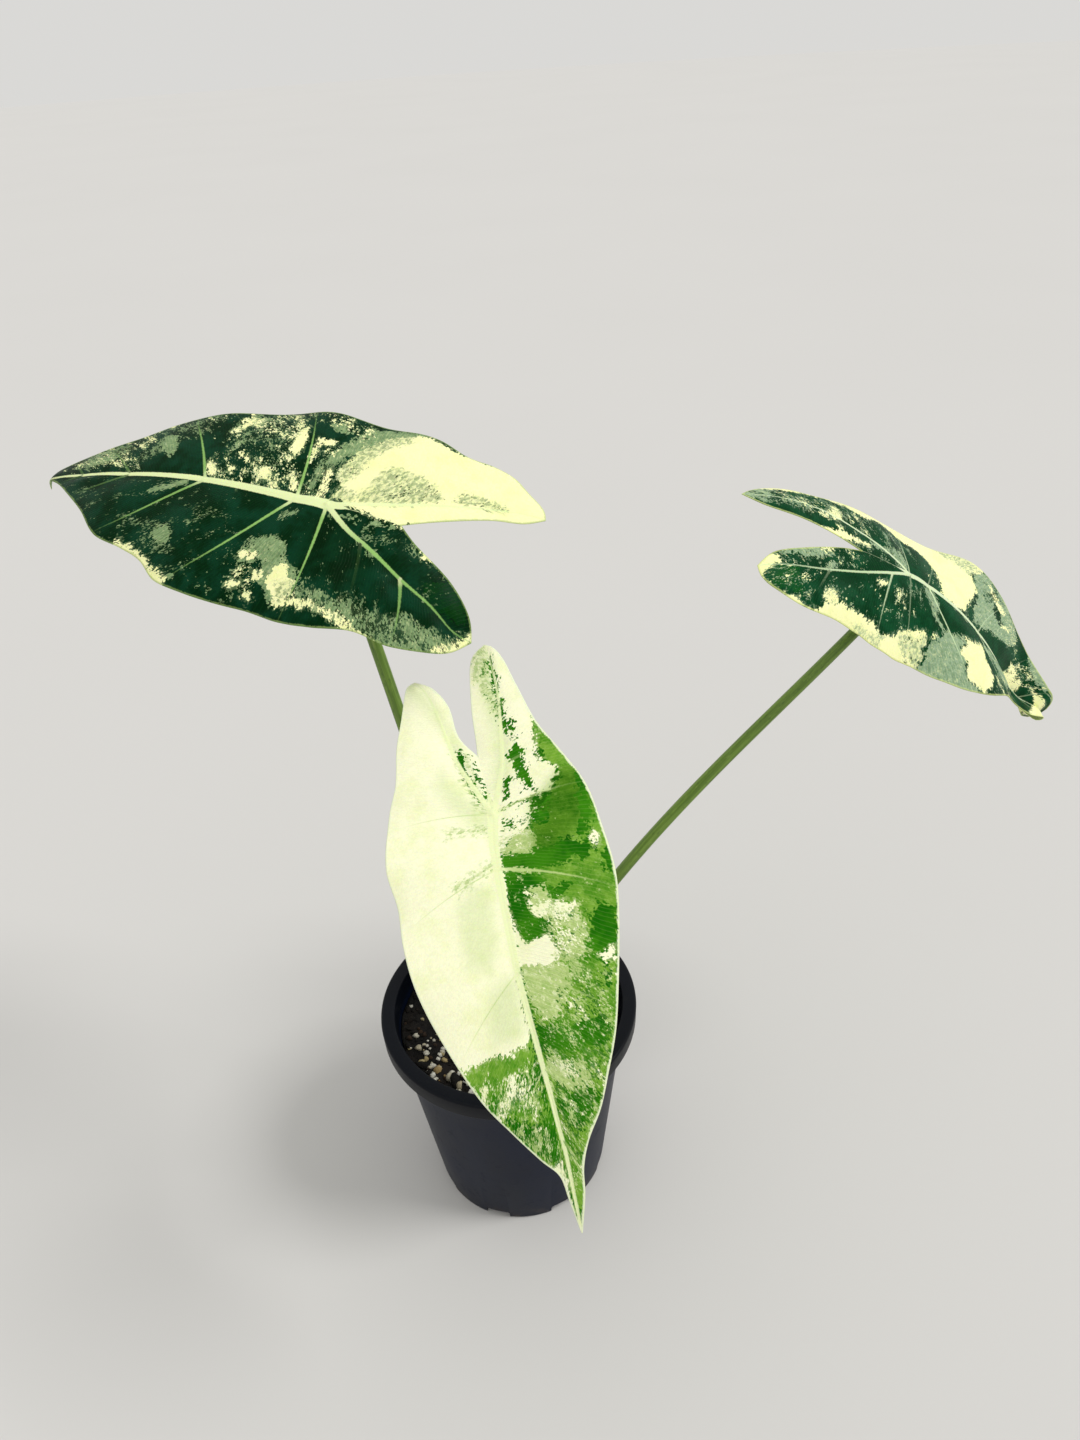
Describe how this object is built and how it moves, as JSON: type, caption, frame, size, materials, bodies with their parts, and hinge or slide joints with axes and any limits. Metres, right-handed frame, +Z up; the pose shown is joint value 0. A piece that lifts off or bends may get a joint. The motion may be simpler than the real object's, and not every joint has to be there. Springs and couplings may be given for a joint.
{
  "type": "variegated alocasia frydek in a nursery pot",
  "caption": "Potted aroid with long-stalked, arrow-shaped leaves marbled in cream and dark green, standing in a tapered round nursery pot with a wide lip.",
  "frame": {"origin": "middle of the pot's underside, on the surface it stands on", "axes": "+Z up out of the pot; -Y is the plant's front, where the lowest leaf arches over the rim; +X is its right"},
  "size_m": [0.3261, 0.1825, 0.2753],
  "materials": {
    "pot_plastic": "satin",
    "potting_mix": "matte",
    "leaf_stalk": "satin",
    "leaf_blade_dark": "satin",
    "leaf_blade_pale": "satin"
  },
  "bodies": {
    "root": {"pot": "pot_plastic", "soil": "potting_mix", "crown": "leaf_stalk", "petiole_left": "leaf_stalk", "petiole_front": "leaf_stalk", "petiole_right": "leaf_stalk", "leaf_left": "leaf_blade_dark", "leaf_front": "leaf_blade_pale", "leaf_right": "leaf_blade_dark"}
  },
  "joints": []
}
